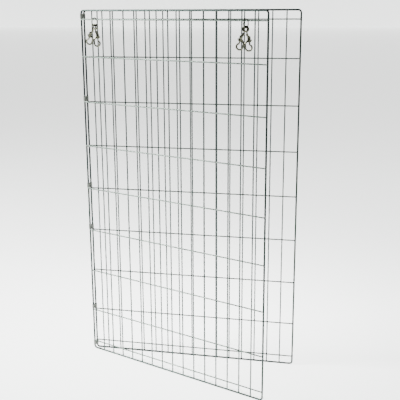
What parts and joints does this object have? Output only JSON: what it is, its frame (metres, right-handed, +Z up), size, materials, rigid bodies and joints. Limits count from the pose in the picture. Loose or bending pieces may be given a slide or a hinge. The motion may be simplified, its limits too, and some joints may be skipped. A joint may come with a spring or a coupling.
{
  "type": "folding wire gate",
  "caption": "Freestanding folding gate of two welded wire mesh panels, joined by sheet clips on one side, with bolt snaps hanging from rings on the upper rail.",
  "frame": {"origin": "middle of the rear panel's foot, on the ground", "axes": "+Z up; the rear panel stands in the XZ plane and faces -Y; the hinged side is at -X"},
  "size_m": [0.6162, 0.2511, 1.016],
  "materials": {
    "zinc_wire": "electro-galvanised, satin",
    "clip_steel": "dark passivated steel strip",
    "nickel_plate": "bright nickel plate",
    "spring_steel": "drawn spring wire"
  },
  "bodies": {
    "rear_panel": {"rear_frame": "zinc_wire", "rear_rail_1": "zinc_wire", "rear_rail_2": "zinc_wire", "rear_rail_3": "zinc_wire", "rear_rail_4": "zinc_wire", "rear_rail_5": "zinc_wire", "rear_rail_6": "zinc_wire", "rear_rail_7": "zinc_wire", "rear_rail_8": "zinc_wire", "rear_rail_9": "zinc_wire", "rear_uprights_1": "zinc_wire", "rear_uprights_2": "zinc_wire", "rear_uprights_3": "zinc_wire"},
    "hinge_clips": {"hinge_clip_1": "clip_steel", "hinge_clip_2": "clip_steel", "hinge_clip_3": "clip_steel", "hinge_clip_4": "clip_steel", "hinge_clip_5": "clip_steel", "hinge_clip_6": "clip_steel"},
    "front_panel": {"front_frame": "zinc_wire", "front_rail_1": "zinc_wire", "front_rail_2": "zinc_wire", "front_rail_3": "zinc_wire", "front_rail_4": "zinc_wire", "front_rail_5": "zinc_wire", "front_rail_6": "zinc_wire", "front_rail_7": "zinc_wire", "front_rail_8": "zinc_wire", "front_rail_9": "zinc_wire", "front_uprights_1": "zinc_wire", "front_uprights_2": "zinc_wire", "front_uprights_3": "zinc_wire"},
    "ring_1": {"ring_1": "nickel_plate"},
    "snap_1_left_eye": {"snap_1_left_eye": "nickel_plate"},
    "snap_1_left_body": {"snap_1_left_body": "nickel_plate"},
    "snap_1_left_bolt": {"snap_1_left_bolt": "nickel_plate", "snap_1_left_spring": "spring_steel"},
    "snap_1_right_eye": {"snap_1_right_eye": "nickel_plate"},
    "snap_1_right_body": {"snap_1_right_body": "nickel_plate"},
    "snap_1_right_bolt": {"snap_1_right_bolt": "nickel_plate", "snap_1_right_spring": "spring_steel"},
    "ring_2": {"ring_2": "nickel_plate"},
    "snap_2_left_eye": {"snap_2_left_eye": "nickel_plate"},
    "snap_2_left_body": {"snap_2_left_body": "nickel_plate"},
    "snap_2_left_bolt": {"snap_2_left_bolt": "nickel_plate", "snap_2_left_spring": "spring_steel"},
    "snap_2_right_eye": {"snap_2_right_eye": "nickel_plate"},
    "snap_2_right_body": {"snap_2_right_body": "nickel_plate"},
    "snap_2_right_bolt": {"snap_2_right_bolt": "nickel_plate", "snap_2_right_spring": "spring_steel"}
  },
  "joints": [
    {"name": "clip_turn", "type": "hinge", "parent": "rear_panel", "child": "hinge_clips", "pos_m": [-0.3025, 0, 0.0025], "axis": [0, 0, -1], "range_deg": [-10, 120]},
    {"name": "panel_swing", "type": "hinge", "parent": "hinge_clips", "child": "front_panel", "pos_m": [-0.30744, -0.00823, 0.0025], "axis": [0, 0, -1], "range_deg": [-10, 120]},
    {"name": "ring_1_swing", "type": "hinge", "parent": "front_panel", "child": "ring_1", "pos_m": [-0.25868, -0.03083, 0.9895], "axis": [-0.9205, 0.3907, 0], "range_deg": [0, 75]},
    {"name": "snap_1_left_splay", "type": "hinge", "parent": "ring_1", "child": "snap_1_left_eye", "pos_m": [-0.26071, -0.03561, 0.97255], "axis": [0.3907, 0.9205, 0], "range_deg": [0, 60]},
    {"name": "snap_1_left_swivel", "type": "hinge", "parent": "snap_1_left_eye", "child": "snap_1_left_body", "pos_m": [-0.26071, -0.03561, 0.97255], "axis": [0.4035, -0.1713, 0.8988], "range_deg": [-60, 4]},
    {"name": "snap_1_left_bolt_slide", "type": "slide", "parent": "snap_1_left_body", "child": "snap_1_left_bolt", "axis": [0.4035, -0.1713, 0.8988], "range_m": [0, 0.0056], "stiffness_N_per_m": 300, "springref_m": -0.01},
    {"name": "snap_1_right_splay", "type": "hinge", "parent": "ring_1", "child": "snap_1_right_eye", "pos_m": [-0.25907, -0.03174, 0.97255], "axis": [-0.3907, -0.9205, 0], "range_deg": [0, 5]},
    {"name": "snap_1_right_swivel", "type": "hinge", "parent": "snap_1_right_eye", "child": "snap_1_right_body", "pos_m": [-0.25907, -0.03174, 0.97255], "axis": [0.0962, -0.0408, -0.9945], "range_deg": [-20, 60]},
    {"name": "snap_1_right_bolt_slide", "type": "slide", "parent": "snap_1_right_body", "child": "snap_1_right_bolt", "axis": [-0.0962, 0.0408, 0.9945], "range_m": [0, 0.0056], "stiffness_N_per_m": 300, "springref_m": -0.01},
    {"name": "ring_2_swing", "type": "hinge", "parent": "front_panel", "child": "ring_2", "pos_m": [0.19381, -0.2229, 0.9895], "axis": [-0.9205, 0.3907, 0], "range_deg": [0, 75]},
    {"name": "snap_2_left_splay", "type": "hinge", "parent": "ring_2", "child": "snap_2_left_eye", "pos_m": [0.19178, -0.22767, 0.97255], "axis": [0.3907, 0.9205, 0], "range_deg": [0, 60]},
    {"name": "snap_2_left_swivel", "type": "hinge", "parent": "snap_2_left_eye", "child": "snap_2_left_body", "pos_m": [0.19178, -0.22767, 0.97255], "axis": [0.3148, -0.1336, 0.9397], "range_deg": [-40, 20]},
    {"name": "snap_2_left_bolt_slide", "type": "slide", "parent": "snap_2_left_body", "child": "snap_2_left_bolt", "axis": [0.3148, -0.1336, 0.9397], "range_m": [0, 0.0056], "stiffness_N_per_m": 300, "springref_m": -0.01},
    {"name": "snap_2_right_splay", "type": "hinge", "parent": "ring_2", "child": "snap_2_right_eye", "pos_m": [0.19342, -0.22381, 0.97255], "axis": [-0.3907, -0.9205, 0], "range_deg": [0, 3]},
    {"name": "snap_2_right_swivel", "type": "hinge", "parent": "snap_2_right_eye", "child": "snap_2_right_body", "pos_m": [0.19342, -0.22381, 0.97255], "axis": [0.144, -0.0611, -0.9877], "range_deg": [-20, 60]},
    {"name": "snap_2_right_bolt_slide", "type": "slide", "parent": "snap_2_right_body", "child": "snap_2_right_bolt", "axis": [-0.144, 0.0611, 0.9877], "range_m": [0, 0.0056], "stiffness_N_per_m": 300, "springref_m": -0.01}
  ],
  "couplings": [
    {"joint": "clip_turn", "follows": "panel_swing", "ratio": 1}
  ]
}
